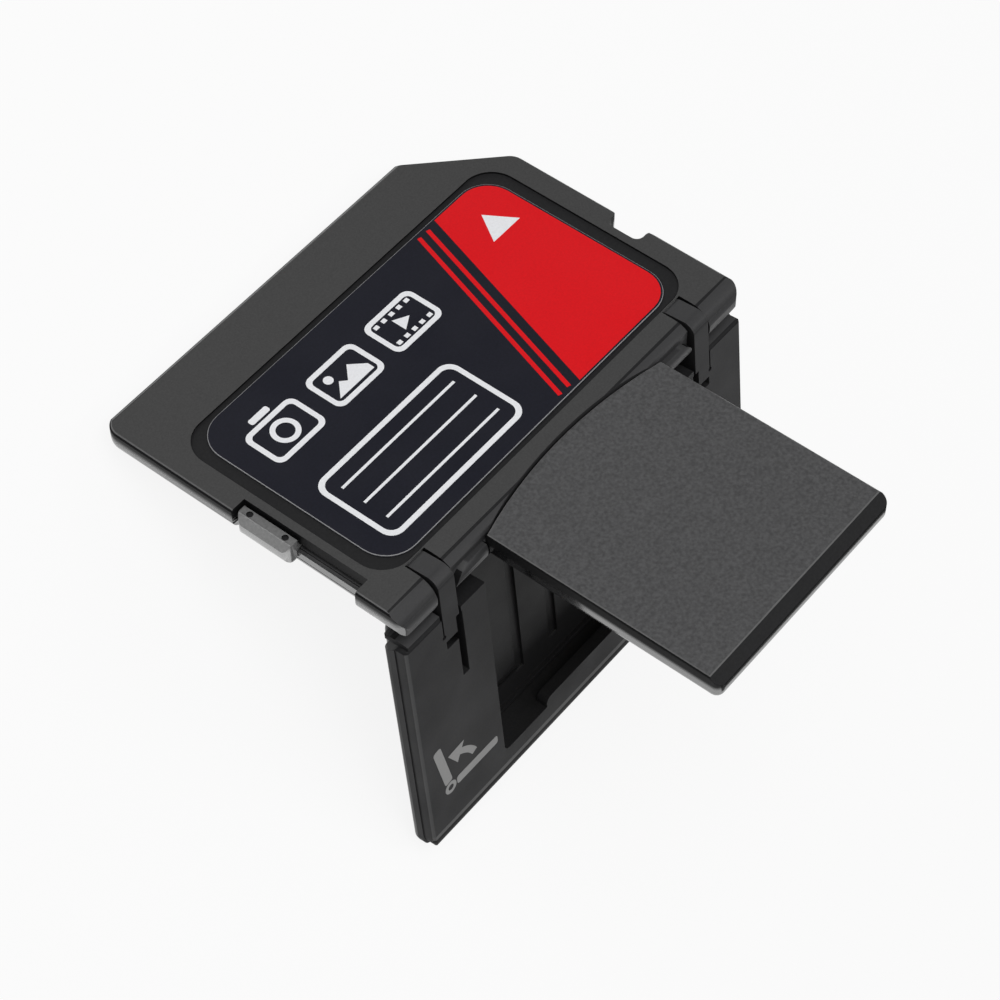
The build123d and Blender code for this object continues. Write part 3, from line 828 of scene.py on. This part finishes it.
# %% A row of bars in Geometry Nodes
def bar_row_tree():
    """Tree that repeats one bar of ink along a line."""
    tree = bpy.data.node_groups.new("bar_row", "GeometryNodeTree")
    for name, kind in (("Count", "Int"), ("Pitch", "Vector"), ("Bar Size", "Vector"), ("Turn", "Float"),
                       ("Ink", "Material")):
        tree.interface.new_socket(name, in_out="INPUT", socket_type="NodeSocket" + kind)
    tree.interface.new_socket("Geometry", in_out="OUTPUT", socket_type="NodeSocketGeometry")
    nodes = tree.nodes
    links = tree.links
    given = nodes.new("NodeGroupInput")
    line = nodes.new("GeometryNodeMeshLine")
    line.mode = "OFFSET"
    links.new(given.outputs["Count"], line.inputs["Count"])
    links.new(given.outputs["Pitch"], line.inputs["Offset"])
    bar = nodes.new("GeometryNodeMeshCube")
    links.new(given.outputs["Bar Size"], bar.inputs["Size"])
    turn = nodes.new("ShaderNodeCombineXYZ")
    links.new(given.outputs["Turn"], turn.inputs["Z"])
    row = nodes.new("GeometryNodeInstanceOnPoints")
    links.new(line.outputs["Mesh"], row.inputs["Points"])
    links.new(bar.outputs["Mesh"], row.inputs["Instance"])
    links.new(turn.outputs["Vector"], row.inputs["Rotation"])
    real = nodes.new("GeometryNodeRealizeInstances")
    links.new(row.outputs["Instances"], real.inputs["Geometry"])
    inked = nodes.new("GeometryNodeSetMaterial")
    links.new(real.outputs["Geometry"], inked.inputs["Geometry"])
    links.new(given.outputs["Ink"], inked.inputs["Material"])
    made = nodes.new("NodeGroupOutput")
    links.new(inked.outputs["Geometry"], made.inputs["Geometry"])
    return tree


bar_rows = bar_row_tree()
bar_row_inputs = {item.name: item.identifier for item in bar_rows.interface.items_tree
                  if item.in_out == "INPUT"}
print("a row of bars takes", list(bar_row_inputs))


def print_bar_row(name, start, pitch, size, count, material, place, body, turn=0.0):
    """Show a row of bars of ink, from the middle of the first, in millimetres on the card."""
    source = bpy.data.objects.new(name + "_row", bpy.data.meshes.new(name + "_row"))
    scene.collection.objects.link(source)
    modifier = source.modifiers.new("row", "NODES")
    modifier.node_group = bar_rows
    values = {"Count": count, "Pitch": (*pitch, 0.0), "Bar Size": (*size, ink_thickness),
              "Turn": turn, "Ink": material}
    for key, value in values.items():
        modifier[bar_row_inputs[key]] = value
    evaluated = source.evaluated_get(bpy.context.evaluated_depsgraph_get())
    mesh = bpy.data.meshes.new_from_object(evaluated)
    bpy.data.objects.remove(source)
    lift = Matrix.Translation(Vector((*start, ink_thickness / 2)))
    mesh.transform(place @ Matrix.Scale(MM, 4) @ lift)
    mesh.name = name
    show_piece(name, mesh, body)
    print(name, "has", count, "bars")


# %% Ruled lines, pinstripes and perforations
rule_count = 3
rule_pitch = 1.25
rule_width = 0.14
rule_margin = 0.8
rule_size = (note_width - 2 * rule_margin, rule_width)
rule_start = (note_middle[0], note_middle[1] + rule_pitch)
print_bar_row("note_rules", rule_start, (0, -rule_pitch), rule_size, rule_count, white_ink,
              label_place, "card")

stripe_count = 2
stripe_gap = 0.62
stripe_width = 0.22
stripe_margin = 0.15
stripe_turn = math.atan2(field_slant, 2 * field_top)
stripe_length = 2 * (field_top - stripe_margin) / math.cos(stripe_turn)
stripe_start = (field_foot + field_slant / 2 - stripe_gap, 0)
print_bar_row("pinstripes", stripe_start, (-stripe_gap, 0), (stripe_width, stripe_length), stripe_count,
              red_ink, label_place, "card", turn=-stripe_turn)

hole_pitch = 0.52
hole_size = (0.26, 0.22)
hole_count = 5
hole_row_offset = 0.68
hole_row_start = film_x - hole_pitch * (hole_count - 1) / 2
for side, name in ((1, "film_holes_upper"), (-1, "film_holes_lower")):
    hole_start = (hole_row_start, sign_row + side * hole_row_offset)
    print_bar_row(name, hole_start, (hole_pitch, 0), hole_size, hole_count, white_ink,
                  label_place, "card")

# %% [markdown]
# ## Sign on the cover
#
# A small grey sign on the cover shows how it folds: two flat bars that meet at a hinge and an arrow
# that swings from one to the other. It is printed on the moulding, so it is ink again, on the cover.

# %% Fold sign
fold_sign_x = -9.55
fold_sign_y = -11.75
fold_middle = Vector((fold_sign_x, fold_sign_y, cover_high.z / MM)) * MM
fold_place = cover_from_flat @ Matrix.Translation(fold_middle)
bar_length = 2.9
bar_width = 0.52
bar_start = 0.44
bar_corner = 0.15
swing_radius = 1.95
swing_width = 0.38
swing_start = 24
swing_end = 62
swung_angle = 100
head_length = 0.95
head_width = 1.2
pivot_radius = 0.38
pivot_hole_radius = 0.18


def turned(points, angle, pivot):
    """Points turned about a pivot by an angle in degrees."""
    c = math.cos(math.radians(angle))
    s = math.sin(math.radians(angle))
    return [(pivot[0] + x * c - y * s, pivot[1] + x * s + y * c) for x, y in points]


fold_pivot = (-0.9, -0.75)
fold_bar = rounded_box((bar_start + bar_length / 2, 0), bar_length, bar_width, bar_corner)
still_bar = turned(fold_bar, 0, fold_pivot)
swung_bar = turned(fold_bar, swung_angle, fold_pivot)
hinge_ring = (ring_of(fold_pivot, pivot_radius), ring_of(fold_pivot, pivot_hole_radius))
swing = arc(fold_pivot, swing_radius + swing_width / 2, swing_start, swing_end)
swing += arc(fold_pivot, swing_radius - swing_width / 2, swing_end, swing_start)
head = [
    (swing_radius - head_width / 2, 0),
    (swing_radius + head_width / 2, 0),
    (swing_radius, head_length),
]
head = turned(head, swing_end, fold_pivot)
print_motif("fold_sign", [still_bar, swung_bar, swing, head], [hinge_ring], grey_ink,
            fold_place, "cover")

# %% [markdown]
# ## Pieces behind the plastic
#
# Through the windows on the underside shows the circuit board with its gold contacts, and the chips
# and small parts sit inside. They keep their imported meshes, whose edges are square as on the real
# ones, and each gets its own material.

# %% Board, metal and component materials
line_stretch = (1, 0.04, 0.04)
line_shade = 0.9
metal_edge_radius = 0.01


def metal(name, colour, roughness, line_size, line_depth):
    """Plated metal with fine lines along the card, as sliding contacts leave them."""
    material = bpy.data.materials.new(name)
    material.use_nodes = True
    nodes, links = empty_tree(material.node_tree)
    shader = nodes.new("ShaderNodeBsdfPrincipled")
    shader.inputs["Metallic"].default_value = 1.0
    lines = noise_on_piece(nodes, links, line_size, stretch=line_stretch)
    tone = spread(nodes, links, lines, 0, 1)
    shade = scaled(colour, line_shade)
    links.new(between(nodes, links, tone, shade, colour), shader.inputs["Base Color"])
    links.new(uneven(nodes, links, lines, roughness), shader.inputs["Roughness"])
    normal = rounded_grain(nodes, links, lines, line_depth, metal_edge_radius)
    links.new(normal, shader.inputs["Normal"])
    output = nodes.new("ShaderNodeOutputMaterial")
    links.new(shader.outputs[0], output.inputs["Surface"])
    return material


gold = metal("contact_gold", from_screen(238, 196, 112), 0.32, 0.06, 0.0001)
can = metal("crystal_can", from_screen(200, 200, 204), 0.3, 0.08, 0.0002)
mask_green = plastic("solder_mask", from_screen(20, 44, 32), 0.35, 0.2, 0.001, speckle=0.25)
epoxy = plastic("chip_epoxy", from_screen(34, 34, 36), 0.7, 0.06, 0.003, speckle=0.2)
ceramic = plastic("capacitor_ceramic", from_screen(150, 110, 74), 0.45, 0.1, 0.001)
resistor = plastic("resistor_body", from_screen(26, 26, 30), 0.4, 0.1, 0.001)


def finish_node(node, material):
    """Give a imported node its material."""
    slots = frame["nodes"][node].data.materials
    slots.clear()
    slots.append(material)


inner_finishes = {
    "circuit_board": mask_green,
    "flash_chip": epoxy,
    "controller_chip": epoxy,
    "clock_crystal": can,
    "capacitors": ceramic,
    "resistors": resistor,
}
for node in frame["nodes"]:
    if "contact_" in node:
        inner_finishes[node] = gold
for node, material in inner_finishes.items():
    finish_node(node, material)
print("finished nodes:", len(inner_finishes))
